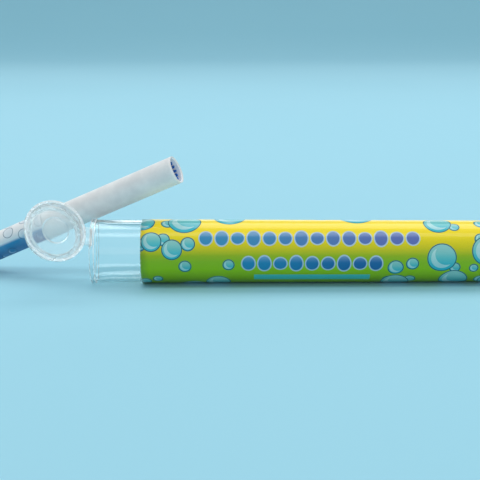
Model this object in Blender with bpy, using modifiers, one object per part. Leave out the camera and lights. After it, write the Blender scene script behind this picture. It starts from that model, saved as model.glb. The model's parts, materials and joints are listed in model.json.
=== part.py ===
"""Bubble blowing cigarette: a clear flip-cap vial on its side, and a toy cigarette leaning behind its mouth.

Metres, +Z up. The model is laid out from the centre of the vial's mouth, with the vial along +X and the
camera side at -Y. At the end everything is moved so that the bottom centre of the object is the origin.
"""

from math import atan2, cos, pi, radians, sin

import bmesh
import bpy
from mathutils import Matrix, Vector

MM = 0.001

# Vial, measured along its axis from the mouth, all radii worked out from the one at its mouth
VIAL_LENGTH = 150.0 * MM
VIAL_MOUTH_RADIUS = 11.25 * MM
VIAL_TAPER = 0.55 * MM
VIAL_WALL = 1.0 * MM
VIAL_BASE = 1.2 * MM
BASE_ROUNDING = 1.0 * MM
COLLAR_PROUD = 0.35 * MM
COLLAR_LENGTH = 1.8 * MM
SEAT_WALL = 0.75 * MM
SEAT_DEPTH = 5.0 * MM
EDGE_BREAK = 0.25 * MM
CORNER_STEPS = 3
VIAL_STEPS = 64

# Label wrapped round the vial
LABEL_START = 18.0 * MM
LABEL_END = 142.0 * MM
LABEL_THICKNESS = 0.15 * MM

# Flip cap and living hinge, the cap given as it sits when closed
HINGE_TURN = radians(32.8)
HINGE_REACH = 1.4 * MM
HINGE_SETBACK = 0.5 * MM
HINGE_WIDTH = 6.5 * MM
FILM_RADIUS = 0.25 * MM
CAP_OPEN = radians(117.0)
CAP_INSET = 0.55 * MM
CAP_THICKNESS = 0.9 * MM
PLUG_LENGTH = 3.0 * MM
PLUG_WALL = 1.7 * MM
PLUG_TAPER = 0.3 * MM
BOSS_RADIUS = 4.5 * MM
BOSS_HEIGHT = 0.3 * MM
FILM_STEPS = 16

# Cigarette, measured along its axis from the mouth end, which stands on the table. It leans across the plane
# of the vial's mouth, at a turn from straight up and a gap from the collar there.
CIG_LENGTH = 89.35 * MM
CIG_RADIUS = 5.0 * MM
CIG_SLOPE = radians(23.84)
CIG_YAW = radians(-11.82)
CIG_CROSS_TURN = radians(30.25)
CIG_CROSS_GAP = 1.1 * MM
WRAP_LENGTH = 54.5 * MM
PAPER = 0.2 * MM
CORE_WALL = 0.35 * MM
CORE_RECESS = 0.3 * MM
CIG_STEPS = 48

# Toothed insert in the tip, and the sleeve in the mouth end
NOZZLE_TEETH = 15
NOZZLE_LENGTH = 11.0 * MM
NOZZLE_WALL = 1.1 * MM
NOZZLE_RECESS = 1.5 * MM
SLOT_WIDTH = 1.1 * MM
SLOT_DEPTH = 2.2 * MM
SLOT_OVERCUT = 1.1
NOZZLE_STEPS = 4 * NOZZLE_TEETH
SLEEVE_LIP = 0.8 * MM
SLEEVE_LENGTH = 12.0 * MM
SLEEVE_WALL = 0.65 * MM

# Height and width of a triangle drawn in a circle of radius 1, the section of a slot before it is scaled
TRIANGLE_HEIGHT = 1.5
TRIANGLE_WIDTH = 3**0.5

# Clearances between pieces
FIT = 0.1 * MM
PAPER_FIT = 0.05 * MM
SEAT_FIT = 0.3 * MM

# Points of a turned shape that are nearer than this are one
WELD = 0.01 * MM

# Radii of the vial, its collar and what mates with them
vial_end_radius = VIAL_MOUTH_RADIUS - VIAL_TAPER
collar_radius = VIAL_MOUTH_RADIUS + COLLAR_PROUD
seat_radius = VIAL_MOUTH_RADIUS - SEAT_WALL
hinge_radius = collar_radius + HINGE_REACH
cap_radius = collar_radius - CAP_INSET


def vial_radius(z):
    """Outer radius of the tapering tube at a distance from the mouth."""
    share = (z - COLLAR_LENGTH) / (VIAL_LENGTH - COLLAR_LENGTH)
    return VIAL_MOUTH_RADIUS - VIAL_TAPER * share


def label_radius(z):
    """Outer radius of the label at a distance from the mouth."""
    return vial_radius(z) + FIT + LABEL_THICKNESS


# Scene helpers
for old in list(bpy.data.objects):
    bpy.data.objects.remove(old)

pieces = bpy.data.collections.new("bubble_blowing_cigarette")
helpers = bpy.data.collections.new("cutters")
for collection in (pieces, helpers):
    bpy.context.scene.collection.children.link(collection)


def material(name, color, roughness, alpha=1.0):
    made = bpy.data.materials.new(name)
    made.use_nodes = True
    shader = made.node_tree.nodes["Principled BSDF"]
    shader.inputs["Base Color"].default_value = (*color, 1.0)
    shader.inputs["Roughness"].default_value = roughness
    shader.inputs["Metallic"].default_value = 0.0
    shader.inputs["Alpha"].default_value = alpha
    return made


def frame(name, parent, place):
    """An empty that carries pieces, placed by a matrix in its parent's frame."""
    empty = bpy.data.objects.new(name, None)
    empty.empty_display_size = CIG_RADIUS
    empty.parent = parent
    empty.matrix_local = place
    pieces.objects.link(empty)
    return empty


def add(name, mesh, parent, look=None, place=None):
    """A visible piece when it has a look, and otherwise a hidden shape for a Boolean."""
    made = bpy.data.objects.new(name, mesh)
    made.parent = parent
    made.matrix_local = place or Matrix()
    if look:
        mesh.materials.append(look)
        pieces.objects.link(made)
    else:
        made.hide_render = True
        made.display_type = "WIRE"
        helpers.objects.link(made)
    return made


def turned(name, profile, steps, parent, look, place=None, ring=False):
    """A solid of revolution about Z. The profile runs down the outer side, and a ring's profile is closed."""
    mesh = bpy.data.meshes.new(name)
    shape = bmesh.new()
    points = [shape.verts.new((radius, 0.0, z)) for radius, z in profile]
    for first, second in zip(points, points[1:]):
        shape.edges.new((first, second))
    if ring:
        shape.edges.new((points[-1], points[0]))
    shape.to_mesh(mesh)
    shape.free()
    made = add(name, mesh, parent, look, place)
    screw = made.modifiers.new("turn", "SCREW")
    screw.steps = steps
    screw.render_steps = steps
    screw.use_merge_vertices = True
    screw.merge_threshold = WELD
    screw.use_smooth_shade = True
    return made


def slab_mesh(name, outline):
    """A slab as wide as the hinge, from its outline in the XZ plane."""
    mesh = bpy.data.meshes.new(name)
    shape = bmesh.new()
    side = shape.faces.new([shape.verts.new((x, -HINGE_WIDTH / 2, z)) for x, z in outline])
    grown = bmesh.ops.extrude_face_region(shape, geom=[side])["geom"]
    far_side = [item for item in grown if isinstance(item, bmesh.types.BMVert)]
    bmesh.ops.translate(shape, verts=far_side, vec=(0.0, HINGE_WIDTH, 0.0))
    bmesh.ops.recalc_face_normals(shape, faces=shape.faces)
    shape.to_mesh(mesh)
    shape.free()
    return mesh


def boolean(target, other, operation):
    cut = target.modifiers.new(other.name, "BOOLEAN")
    cut.operation = operation
    cut.solver = "EXACT"
    cut.object = other


# Looks of the pieces
CLEAR = (0.86, 0.93, 0.95)
vial_look = material("clear_vial", CLEAR, 0.12, 0.3)
film_look = material("clear_hinge", CLEAR, 0.25, 0.5)
cap_look = material("clear_cap", CLEAR, 0.15, 0.35)
label_look = material("printed_label", (0.62, 0.55, 0.05), 0.25)
core_look = material("white_tube", (0.86, 0.88, 0.9), 0.6)
wrap_look = material("white_paper", (0.85, 0.87, 0.9), 0.7)
tipping_look = material("printed_paper", (0.12, 0.16, 0.35), 0.6)
nozzle_look = material("blue_insert", (0.0, 0.06, 0.35), 0.4)
sleeve_look = material("white_sleeve", (0.85, 0.87, 0.88), 0.45)

# Frames. The vial rests on its collar and on the far end of its label, so its axis dips slightly.
half_facet = pi / VIAL_STEPS
vial_dip = atan2(collar_radius - label_radius(LABEL_END), LABEL_END - COLLAR_LENGTH)
root = frame("root", None, Matrix())
vial = frame("vial_frame", root, Matrix.Rotation(pi / 2 + vial_dip, 4, "Y"))
hinge_turn = Matrix.Rotation(-pi / 2 - HINGE_TURN, 4, "Z")
hinge = frame("hinge_frame", vial, hinge_turn @ Matrix.Translation((hinge_radius, 0.0, HINGE_SETBACK)))
cap = frame("cap_hinge", hinge, Matrix.Rotation(-CAP_OPEN, 4, "Y"))
table_z = -collar_radius * cos(half_facet)
cig_turn = Matrix.Rotation(CIG_YAW, 4, "Z") @ Matrix.Rotation(pi / 2 - CIG_SLOPE, 4, "Y")
cig_axis = cig_turn.col[2].to_3d()
cig_cross_radius = collar_radius + CIG_CROSS_GAP + CIG_RADIUS
cig_cross = cig_cross_radius * Vector((0.0, sin(CIG_CROSS_TURN), cos(CIG_CROSS_TURN)))
cig_end_height = table_z + CIG_RADIUS * cos(CIG_SLOPE)
cig_end = cig_cross - cig_axis * (cig_cross.z - cig_end_height) / cig_axis.z
cigarette = frame("cigarette_lift", root, Matrix.Translation(cig_end) @ cig_turn)

# Vial body: turned with a facet facing down, then joined to the lug that carries the hinge
facet_down = Matrix.Rotation(half_facet, 4, "Z")
base_corner = []
for step in range(CORNER_STEPS + 1):
    turn = step / CORNER_STEPS * pi / 2
    rise = BASE_ROUNDING * (1 - cos(turn))
    inset = BASE_ROUNDING * (1 - sin(turn))
    base_corner.append((vial_end_radius - inset, VIAL_LENGTH - rise))
bore_top = VIAL_MOUTH_RADIUS - VIAL_WALL
vial_profile = [
    (0.0, VIAL_LENGTH),
    *base_corner,
    (VIAL_MOUTH_RADIUS, COLLAR_LENGTH),
    (collar_radius, COLLAR_LENGTH - EDGE_BREAK),
    (collar_radius, EDGE_BREAK),
    (collar_radius - EDGE_BREAK, 0.0),
    (seat_radius + EDGE_BREAK, 0.0),
    (seat_radius, EDGE_BREAK),
    (seat_radius, SEAT_DEPTH),
    (bore_top, SEAT_DEPTH + EDGE_BREAK),
    (vial_end_radius - VIAL_WALL, VIAL_LENGTH - VIAL_BASE),
    (0.0, VIAL_LENGTH - VIAL_BASE),
]
vial_body = turned("vial_body", vial_profile, VIAL_STEPS, vial, vial_look, facet_down)

film_gap = FILM_RADIUS + SEAT_FIT
lug_half_depth = HINGE_SETBACK - EDGE_BREAK
lug_root = (seat_radius + collar_radius) / 2 - hinge_radius
lug_outline = [
    (lug_root, -lug_half_depth),
    (-film_gap, -lug_half_depth),
    (-film_gap, lug_half_depth),
    (lug_root, lug_half_depth),
]
boolean(vial_body, add("hinge_lug", slab_mesh("hinge_lug", lug_outline), hinge), "UNION")

# Label
label_profile = [(label_radius(z), z) for z in (LABEL_END, LABEL_START)]
label_profile += [(vial_radius(z) + FIT, z) for z in (LABEL_START, LABEL_END)]
turned("label_wrap", label_profile, VIAL_STEPS, vial, label_look, facet_down, ring=True)

# Hinge film: a thin rod on the axis that the cap swings about
half_width = HINGE_WIDTH / 2
film_profile = [(0.0, half_width), (FILM_RADIUS, half_width), (FILM_RADIUS, -half_width), (0.0, -half_width)]
turned("hinge_film", film_profile, FILM_STEPS, hinge, film_look, Matrix.Rotation(pi / 2, 4, "X"))

# Flip cap: disc, plug wall inside and boss outside, joined to the leaf that reaches over to the hinge
under = -HINGE_SETBACK - SEAT_FIT
outer = under - CAP_THICKNESS
plug_radius = seat_radius - SEAT_FIT
plug_end = PLUG_LENGTH - HINGE_SETBACK
cap_profile = [
    (0.0, under),
    (plug_radius - PLUG_WALL, under),
    (plug_radius - PLUG_WALL, plug_end),
    (plug_radius - PLUG_TAPER, plug_end),
    (plug_radius, under),
    (cap_radius - EDGE_BREAK, under),
    (cap_radius, under - EDGE_BREAK),
    (cap_radius, outer + EDGE_BREAK),
    (cap_radius - EDGE_BREAK, outer),
    (BOSS_RADIUS + EDGE_BREAK, outer),
    (BOSS_RADIUS, outer - BOSS_HEIGHT),
    (0.0, outer - BOSS_HEIGHT),
]
cap_axis = Matrix.Translation((-hinge_radius, 0.0, 0.0))
flip_cap = turned("flip_cap", cap_profile, VIAL_STEPS, cap, cap_look, cap_axis)

leaf_root = cap_radius - hinge_radius - 2 * EDGE_BREAK
leaf_outer = outer + EDGE_BREAK
leaf_under = under - EDGE_BREAK
leaf_outline = [
    (leaf_root, leaf_outer),
    (film_gap, leaf_outer),
    (film_gap, -film_gap),
    (-FILM_RADIUS, -film_gap),
    (-FILM_RADIUS, leaf_under),
    (leaf_root, leaf_under),
]
boolean(flip_cap, add("cap_leaf", slab_mesh("cap_leaf", leaf_outline), cap), "UNION")


# Cigarette: tubes nested in one another
def tube(name, outer_radius, wall, low, high, look, steps=CIG_STEPS):
    inner_radius = outer_radius - wall
    profile = [(outer_radius, high), (outer_radius, low), (inner_radius, low), (inner_radius, high)]
    return turned(name, profile, steps, cigarette, look, ring=True)


core_radius = CIG_RADIUS - PAPER - PAPER_FIT
insert_radius = core_radius - CORE_WALL - FIT
papers_meet = CIG_LENGTH - WRAP_LENGTH
core_start = SLEEVE_LIP + FIT
tube("cig_core", core_radius, CORE_WALL, core_start, CIG_LENGTH - CORE_RECESS, core_look)
tube("cig_wrap", CIG_RADIUS, PAPER, papers_meet + PAPER_FIT, CIG_LENGTH, wrap_look)
tube("cig_tipping", CIG_RADIUS, PAPER, core_start, papers_meet, tipping_look)

# Mouth sleeve with a lip as wide as the paper
sleeve_bore = insert_radius - SLEEVE_WALL
sleeve_profile = [
    (insert_radius, SLEEVE_LENGTH),
    (insert_radius, SLEEVE_LIP),
    (CIG_RADIUS, SLEEVE_LIP),
    (CIG_RADIUS, 0.0),
    (sleeve_bore, 0.0),
    (sleeve_bore, SLEEVE_LENGTH),
]
turned("mouth_sleeve", sleeve_profile, CIG_STEPS, cigarette, sleeve_look, ring=True)

# Toothed insert: V slots cut all round the end of a ring
nozzle_top = CIG_LENGTH - NOZZLE_RECESS
nozzle_foot = nozzle_top - NOZZLE_LENGTH
nozzle = tube("bubble_nozzle", insert_radius, NOZZLE_WALL, nozzle_foot, nozzle_top, nozzle_look, NOZZLE_STEPS)
slots = bmesh.new()
slot_scale_up = SLOT_DEPTH * SLOT_OVERCUT / TRIANGLE_HEIGHT
slot_scale_across = SLOT_WIDTH * SLOT_OVERCUT / TRIANGLE_WIDTH
slot_shape = Matrix.Diagonal((slot_scale_up, slot_scale_across, 1.0, 1.0)) @ Matrix.Rotation(-pi / 2, 4, "Z")
slot_middle = (insert_radius - NOZZLE_WALL / 2, 0.0, nozzle_top - SLOT_DEPTH + slot_scale_up)
slot_place = Matrix.Translation(slot_middle) @ Matrix.Rotation(pi / 2, 4, "Y") @ slot_shape
for tooth in range(NOZZLE_TEETH):
    round_axis = Matrix.Rotation((tooth + 0.5) * 2 * pi / NOZZLE_TEETH, 4, "Z")
    bmesh.ops.create_cone(
        slots,
        cap_ends=True,
        segments=3,
        radius1=1.0,
        radius2=1.0,
        depth=NOZZLE_WALL * 2,
        matrix=round_axis @ slot_place,
    )
slots_mesh = bpy.data.meshes.new("nozzle_slots")
slots.to_mesh(slots_mesh)
slots.free()
boolean(nozzle, add("nozzle_slots", slots_mesh, cigarette), "DIFFERENCE")

# Move everything so that the bottom centre of the whole object is the origin
bpy.context.view_layer.update()
graph = bpy.context.evaluated_depsgraph_get()
corners = []
for piece in pieces.objects:
    if piece.type == "MESH":
        shown = piece.evaluated_get(graph)
        corners += [shown.matrix_world @ vertex.co for vertex in shown.data.vertices]
low = [min(corner[axis] for corner in corners) for axis in range(3)]
high = [max(corner[axis] for corner in corners) for axis in range(3)]
root.location = (-(low[0] + high[0]) / 2, -(low[1] + high[1]) / 2, -low[2])
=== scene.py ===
"""Looks of a bubble blowing cigarette: a clear flip-cap vial with a printed wrap, and a paper tube.

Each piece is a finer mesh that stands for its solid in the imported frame, with a finish of its own. Sizes are
in metres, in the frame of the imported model: +X runs along the vial from its mouth, and -Y faces the camera.
"""

import json
from math import cos, pi, radians, sin

import bmesh
import bpy
from mathutils import Matrix, Vector, noise

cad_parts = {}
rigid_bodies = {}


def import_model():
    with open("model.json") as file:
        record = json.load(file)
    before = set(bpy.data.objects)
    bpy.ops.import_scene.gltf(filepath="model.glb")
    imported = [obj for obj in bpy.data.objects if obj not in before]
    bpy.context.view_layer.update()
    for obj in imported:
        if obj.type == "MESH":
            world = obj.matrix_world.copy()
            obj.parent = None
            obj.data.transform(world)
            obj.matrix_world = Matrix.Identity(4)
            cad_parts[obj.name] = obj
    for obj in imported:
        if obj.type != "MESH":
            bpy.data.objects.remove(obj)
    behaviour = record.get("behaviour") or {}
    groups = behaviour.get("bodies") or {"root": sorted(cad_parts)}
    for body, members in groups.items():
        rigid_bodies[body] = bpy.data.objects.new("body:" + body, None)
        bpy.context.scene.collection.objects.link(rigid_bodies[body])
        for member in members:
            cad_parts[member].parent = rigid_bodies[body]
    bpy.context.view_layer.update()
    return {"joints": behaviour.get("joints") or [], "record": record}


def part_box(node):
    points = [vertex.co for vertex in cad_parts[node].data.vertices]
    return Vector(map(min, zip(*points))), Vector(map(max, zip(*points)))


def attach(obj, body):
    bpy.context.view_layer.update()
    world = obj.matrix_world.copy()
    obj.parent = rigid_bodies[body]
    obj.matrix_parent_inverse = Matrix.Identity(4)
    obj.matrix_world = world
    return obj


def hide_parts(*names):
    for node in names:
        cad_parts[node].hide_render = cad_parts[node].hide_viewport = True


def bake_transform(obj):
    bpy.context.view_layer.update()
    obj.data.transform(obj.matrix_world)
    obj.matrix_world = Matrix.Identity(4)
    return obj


for old in list(bpy.data.objects):
    bpy.data.objects.remove(old)

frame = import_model()

MM = 0.001
WELD = 0.001 * MM
EDGE_BREAK = 0.25 * MM
TURN_STEPS = 144
ROUNDING_STEPS = 4
DOWN = (0.0, 0.0, -1.0)

# Vial, measured along its axis from the mouth
VIAL_LENGTH = 150.0 * MM
VIAL_MOUTH_RADIUS = 11.25 * MM
VIAL_END_RADIUS = 10.7 * MM
VIAL_WALL = 1.0 * MM
VIAL_BASE = 1.2 * MM
BASE_ROUNDING = 1.0 * MM
COLLAR_RADIUS = 11.6 * MM
COLLAR_LENGTH = 1.8 * MM
SEAT_RADIUS = 10.5 * MM
SEAT_DEPTH = 5.0 * MM
SEAT_SLOPE = 1.6 * MM

# Label, with its print laid out from the line that faces the camera
LABEL_START = 18.0 * MM
LABEL_END = 142.0 * MM
LABEL_THICKNESS = 0.15 * MM
LABEL_GAP = 0.1 * MM
LABEL_OVERLAP = 5.0 * MM
LABEL_LAY = radians(12.5)
LABEL_ROWS = 40

# Flip cap and its living hinge, the cap given as it sits when closed
CAP_OPEN = radians(117.0)
CAP_RADIUS = 11.05 * MM
CAP_UNDER = -0.8 * MM
CAP_OUTER = -1.7 * MM
PLUG_RADIUS = 10.2 * MM
PLUG_WALL = 1.7 * MM
PLUG_TAPER = 0.3 * MM
PLUG_END = 2.5 * MM
BOSS_RADIUS = 4.5 * MM
BOSS_HEIGHT = 0.3 * MM
HINGE_RADIUS = 13.0 * MM
HINGE_WIDTH = 6.5 * MM
HINGE_GAP = 0.55 * MM
LUG_ROOT = -1.95 * MM
LUG_HALF_DEPTH = 0.25 * MM
STRAP_THICKNESS = 0.3 * MM
STRAP_ROUNDING = STRAP_THICKNESS / 4
STRAP_SEAT = 0.25 * MM
STRAP_STEPS = 16

# Cigarette, measured along its axis from the mouth end
CIG_LENGTH = 89.35 * MM
CIG_RADIUS = 5.0 * MM
CIG_SLOPE = radians(23.84)
CIG_YAW = radians(-11.82)
PAPERS_MEET = 34.85 * MM
PAPER = 0.2 * MM
PAPER_SEAM = PAPER / 4
PAPER_OVERLAP = 3.0 * MM
PAPER_RIPPLE = 0.06 * MM
PAPER_RIPPLE_LENGTH = 9.0 * MM
PAPER_ROW_LENGTH = 1.0 * MM
CORE_RADIUS = 4.75 * MM
CORE_WALL = 0.35 * MM
CORE_ROUNDING = CORE_WALL / 3
CORE_START = 0.9 * MM
CORE_END = 89.05 * MM
INSERT_RADIUS = 4.3 * MM
SLEEVE_LIP = 0.8 * MM
SLEEVE_LENGTH = 12.0 * MM
SLEEVE_BORE = 3.65 * MM

# Toothed insert
NOZZLE_TEETH = 15
NOZZLE_TOP = 87.85 * MM
NOZZLE_LENGTH = 11.0 * MM
NOZZLE_WALL = 1.1 * MM
SLOT_WIDTH = 1.1 * MM
SLOT_DEPTH = 2.2 * MM
SLOT_FLAT = 0.7 * MM
TOOTH_ROUNDING = 0.2 * MM
TOOTH_EDGE = TOOTH_ROUNDING / 3

# Camera, from the middle of the vial's mouth
CAMERA_FROM_MOUTH = Vector((53.06, -404.18, 89.7)) * MM
CAMERA_TILT = radians(78.0)
CAMERA_ROLL = radians(-0.25)
CAMERA_LENS = 86.25
CAMERA_SENSOR = 36.0


# Frames of the vial, the cap and the cigarette

def axes_frame(origin, along, across):
    """A frame with Z along one direction and X as near to another as a right angle allows."""
    z = Vector(along).normalized()
    y = z.cross(Vector(across)).normalized()
    x = y.cross(z)
    return Matrix.Translation(origin) @ Matrix((x, y, z)).transposed().to_4x4()


record = frame["record"]
vial_base = next(mount for mount in record["mounts"] if mount["name"] == "vial_base")
cap_joint = next(joint for joint in frame["joints"] if joint["name"] == "cap_hinge")

vial_axis = Vector(vial_base["axis"]).normalized()
mouth = Vector(vial_base["pos_m"]) - vial_axis * VIAL_LENGTH
vial_place = axes_frame(mouth, vial_axis, DOWN)

hinge_axis = Vector(cap_joint["axis"])
hinge_place = axes_frame(cap_joint["pos_m"], vial_axis, hinge_axis.cross(vial_axis))
cap_swing = Matrix.Rotation(-CAP_OPEN, 4, "Y")
cap_place = hinge_place @ cap_swing @ Matrix.Translation((-HINGE_RADIUS, 0.0, 0.0))

core_low, core_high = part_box("cig_core")
cig_axis = Vector((cos(CIG_SLOPE) * cos(CIG_YAW), cos(CIG_SLOPE) * sin(CIG_YAW), sin(CIG_SLOPE)))
cig_end = (core_low + core_high) / 2 - cig_axis * (CORE_START + CORE_END) / 2
cig_place = axes_frame(cig_end, cig_axis, DOWN)


# Meshes

EVEN_SHADING = ("WEIGHTED_NORMAL", {"weight": 50, "keep_sharp": True})


def smoothstep(value, low, high):
    share = min(max((value - low) / (high - low), 0.0), 1.0)
    return share * share * (3 - 2 * share)


def rounded(corners):
    """An outline through corners of (radius, height, rounding), the last being how far each is cut back."""
    points = []
    for index, (radius, height, rounding) in enumerate(corners):
        corner = Vector((radius, height))
        if not rounding:
            points.append(corner)
            continue
        before = Vector(corners[index - 1][:2])
        after = Vector(corners[(index + 1) % len(corners)][:2])
        start = corner + (before - corner).normalized() * rounding
        end = corner + (after - corner).normalized() * rounding
        for step in range(ROUNDING_STEPS + 1):
            share = step / ROUNDING_STEPS
            points.append(start.lerp(corner, share).lerp(corner.lerp(end, share), share))
    return points


def to_mesh(name, shape):
    for face in shape.faces:
        face.smooth = True
    mesh = bpy.data.meshes.new(name)
    shape.to_mesh(mesh)
    shape.free()
    return mesh


def placed(name, data):
    """A new object of the scene, at the origin."""
    made = bpy.data.objects.new(name, data)
    bpy.context.scene.collection.objects.link(made)
    return made


def evaluated(draft):
    """The plain mesh that an object's modifiers make. The object itself is removed."""
    graph = bpy.context.evaluated_depsgraph_get()
    made = bpy.data.meshes.new_from_object(draft.evaluated_get(graph))
    bpy.data.objects.remove(draft)
    return made


def baked(mesh, *modifiers):
    """The plain mesh that modifiers, given as a kind and its settings, make of a mesh."""
    draft = placed(mesh.name, mesh)
    for kind, settings in modifiers:
        modifier = draft.modifiers.new(kind.lower(), kind)
        for setting, value in settings.items():
            setattr(modifier, setting, value)
    return evaluated(draft)


def joined(mesh, other):
    """A mesh with another one fused to it."""
    extra = placed(other.name, other)
    made = baked(mesh, ("BOOLEAN", {"operation": "UNION", "solver": "EXACT", "object": extra}))
    bpy.data.objects.remove(extra)
    return made


def turned(name, outline, ring=False):
    """A mesh turned about Z from an outline of radius and height. The outline of a ring is closed."""
    shape = bmesh.new()
    points = [shape.verts.new((radius, 0.0, height)) for radius, height in outline]
    pairs = list(zip(points, points[1:]))
    if ring:
        pairs.append((points[-1], points[0]))
    edges = [shape.edges.new(pair) for pair in pairs]
    bmesh.ops.spin(
        shape,
        geom=points + edges,
        cent=(0.0, 0.0, 0.0),
        axis=(0.0, 0.0, 1.0),
        angle=2 * pi,
        steps=TURN_STEPS,
        use_merge=True,
    )
    bmesh.ops.remove_doubles(shape, verts=shape.verts, dist=WELD)
    bmesh.ops.recalc_face_normals(shape, faces=shape.faces)
    return to_mesh(name, shape)


def slab(name, outline, width):
    """A slab with an outline in the XZ plane, its corners already rounded, and a width along Y."""
    shape = bmesh.new()
    side = shape.faces.new([shape.verts.new((x, -width / 2, z)) for x, z in outline])
    grown = bmesh.ops.extrude_face_region(shape, geom=[side])["geom"]
    far_side = [item for item in grown if isinstance(item, bmesh.types.BMVert)]
    bmesh.ops.translate(shape, verts=far_side, vec=(0.0, width, 0.0))
    bmesh.ops.recalc_face_normals(shape, faces=shape.faces)
    return to_mesh(name, shape)


def rolled_sheet(name, looks, start, end, radius_at, thickness, overlap, rows, lay=0.0, ripple=0.0):
    """A sheet rolled once round Z, lapped at the back, with its outer face at radius_at(height).

    A second look is that of its inner face. The attribute print_place holds a point's place on the flat sheet
    in millimetres: along the axis, and round it from the front, upwards.
    """
    shape = bmesh.new()
    print_place = shape.verts.layers.float_vector.new("print_place")
    lap = overlap / radius_at(start)
    grid = []
    for row in range(rows + 1):
        height = start + (end - start) * row / rows
        line = []
        for column in range(TURN_STEPS + 1):
            turn = -pi + (2 * pi + lap) * column / TURN_STEPS
            lift = thickness * smoothstep(turn, pi - lap, pi)
            radius = radius_at(height) + lift
            angle = -pi / 2 - lay - turn
            spot = Vector((radius * cos(angle), radius * sin(angle), height))
            if ripple:
                wave = 0.5 + 0.5 * noise.noise(spot / PAPER_RIPPLE_LENGTH)
                spot.xy *= 1 + ripple * wave / radius
            vertex = shape.verts.new(spot)
            vertex[print_place] = (height / MM, turn * radius / MM, 0.0)
            line.append(vertex)
        grid.append(line)
    for low, high in zip(grid, grid[1:]):
        for column in range(TURN_STEPS):
            shape.faces.new((low[column], high[column], high[column + 1], low[column + 1]))
    sheet = to_mesh(name, shape)
    for look in looks:
        sheet.materials.append(look)
    settings = {"thickness": thickness, "offset": -1.0, "material_offset": len(looks) - 1}
    return baked(sheet, ("SOLIDIFY", settings))


def piece(name, mesh, place, body, node):
    """A finished piece that rides on a body and stands for a solid of the frame."""
    mesh.transform(place)
    made = placed(name, mesh)
    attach(made, body)
    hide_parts(node)


# Shader nodes

VALUE = "NodeSocketFloat"
VECTOR = "NodeSocketVector"

# Places of a Mix node's sockets when it mixes colours
MIX_INPUTS = (0, 6, 7)
MIX_RESULT = 2

# Part of a noise's range in which nearly all its values lie
NOISE_LOW = 0.3
NOISE_HIGH = 0.7

# Ends of a step that falls
FALLING = (1.0, 0.0)


class Nodes:
    """A node tree being filled. Each call makes a node, sets or links its inputs and gives an output."""

    def __init__(self, tree):
        self.tree = tree

    def put(self, socket, value):
        if isinstance(value, bpy.types.NodeSocket):
            self.tree.links.new(value, socket)
        else:
            socket.default_value = value

    def node(self, kind, inputs=None, **settings):
        made = self.tree.nodes.new(kind)
        for setting, value in settings.items():
            setattr(made, setting, value)
        for socket, value in (inputs or {}).items():
            self.put(made.inputs[socket], value)
        return made

    def math(self, operation, *values):
        made = self.node("ShaderNodeMath", dict(enumerate(values)), operation=operation)
        return made.outputs[0]

    def times(self, product, *values):
        for value in values:
            product = self.math("MULTIPLY", product, value)
        return product

    def vector(self, operation, *values):
        made = self.node("ShaderNodeVectorMath", dict(enumerate(values)), operation=operation)
        return made.outputs["Value" if operation in ("LENGTH", "DISTANCE") else "Vector"]

    def scaled(self, vector, scale):
        inputs = {"Vector": vector, "Scale": scale}
        return self.node("ShaderNodeVectorMath", inputs, operation="SCALE").outputs["Vector"]

    def split(self, vector):
        return self.node("ShaderNodeSeparateXYZ", {"Vector": vector}).outputs

    def combine(self, x, y, z=0.0):
        return self.node("ShaderNodeCombineXYZ", {"X": x, "Y": y, "Z": z}).outputs["Vector"]

    def rise(self, value, low, high, start=0.0, end=1.0):
        """A smooth step from start to end as value goes from low to high."""
        inputs = {"Value": value, "From Min": low, "From Max": high, "To Min": start, "To Max": end}
        made = self.node("ShaderNodeMapRange", inputs, interpolation_type="SMOOTHSTEP")
        return made.outputs["Result"]

    def spread(self, grain, start, end):
        """A noise's usual range drawn out from start to end."""
        return self.rise(grain, NOISE_LOW, NOISE_HIGH, start, end)

    def mix(self, share, first, second):
        made = self.node("ShaderNodeMix", data_type="RGBA")
        for index, value in zip(MIX_INPUTS, (share, first, second)):
            self.put(made.inputs[index], value)
        return made.outputs[MIX_RESULT]

    def ramp(self, value, stops):
        made = self.node("ShaderNodeValToRGB", {"Fac": value})
        elements = made.color_ramp.elements
        while len(elements) < len(stops):
            elements.new(1.0)
        for element, (position, color) in zip(elements, stops):
            element.position = position
            element.color = color
        return made.outputs["Color"]

    def noise(self, vector, scale, detail=3.0, roughness=0.55):
        inputs = {"Vector": vector, "Scale": scale, "Detail": detail, "Roughness": roughness}
        return self.node("ShaderNodeTexNoise", inputs).outputs["Fac"]

    def use(self, tree, inputs):
        made = self.node("ShaderNodeGroup", node_tree=tree)
        for socket, value in inputs.items():
            self.put(made.inputs[socket], value)
        return made.outputs


def group(name, inputs, outputs):
    """An empty node group with named sockets: its tree, its Nodes, and the nodes that hold its ends."""
    tree = bpy.data.node_groups.new(name, "ShaderNodeTree")
    for socket, kind in inputs.items():
        tree.interface.new_socket(socket, in_out="INPUT", socket_type=kind)
    for socket, kind in outputs.items():
        tree.interface.new_socket(socket, in_out="OUTPUT", socket_type=kind)
    nodes = Nodes(tree)
    return tree, nodes, nodes.node("NodeGroupInput").outputs, nodes.node("NodeGroupOutput").inputs


def srgb(red, green, blue):
    """A linear colour from the values, 0 to 255, that it has in a picture."""
    shares = [value / 255 for value in (red, green, blue)]
    linear = [share / 12.92 if share <= 0.04045 else ((share + 0.055) / 1.055) ** 2.4 for share in shares]
    return (*linear, 1.0)


# Effects that several finishes share

STREAK_STRETCH = (40.0, 900.0, 900.0)
STREAK_DETAIL = 2.0
SMEAR_SCALE = 160.0
SMEAR_DETAIL = 4.0
SMEAR_SHARE = 0.7
SMEAR_RELIEF = 0.6
SCUFF_SCALE = 700.0
SCUFF_DETAIL = 6.0
SCUFF_GRAIN = 0.7
SCUFF_SPAN = (0.5, 0.85)
SCUFF_SHARE = 0.5


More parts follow.
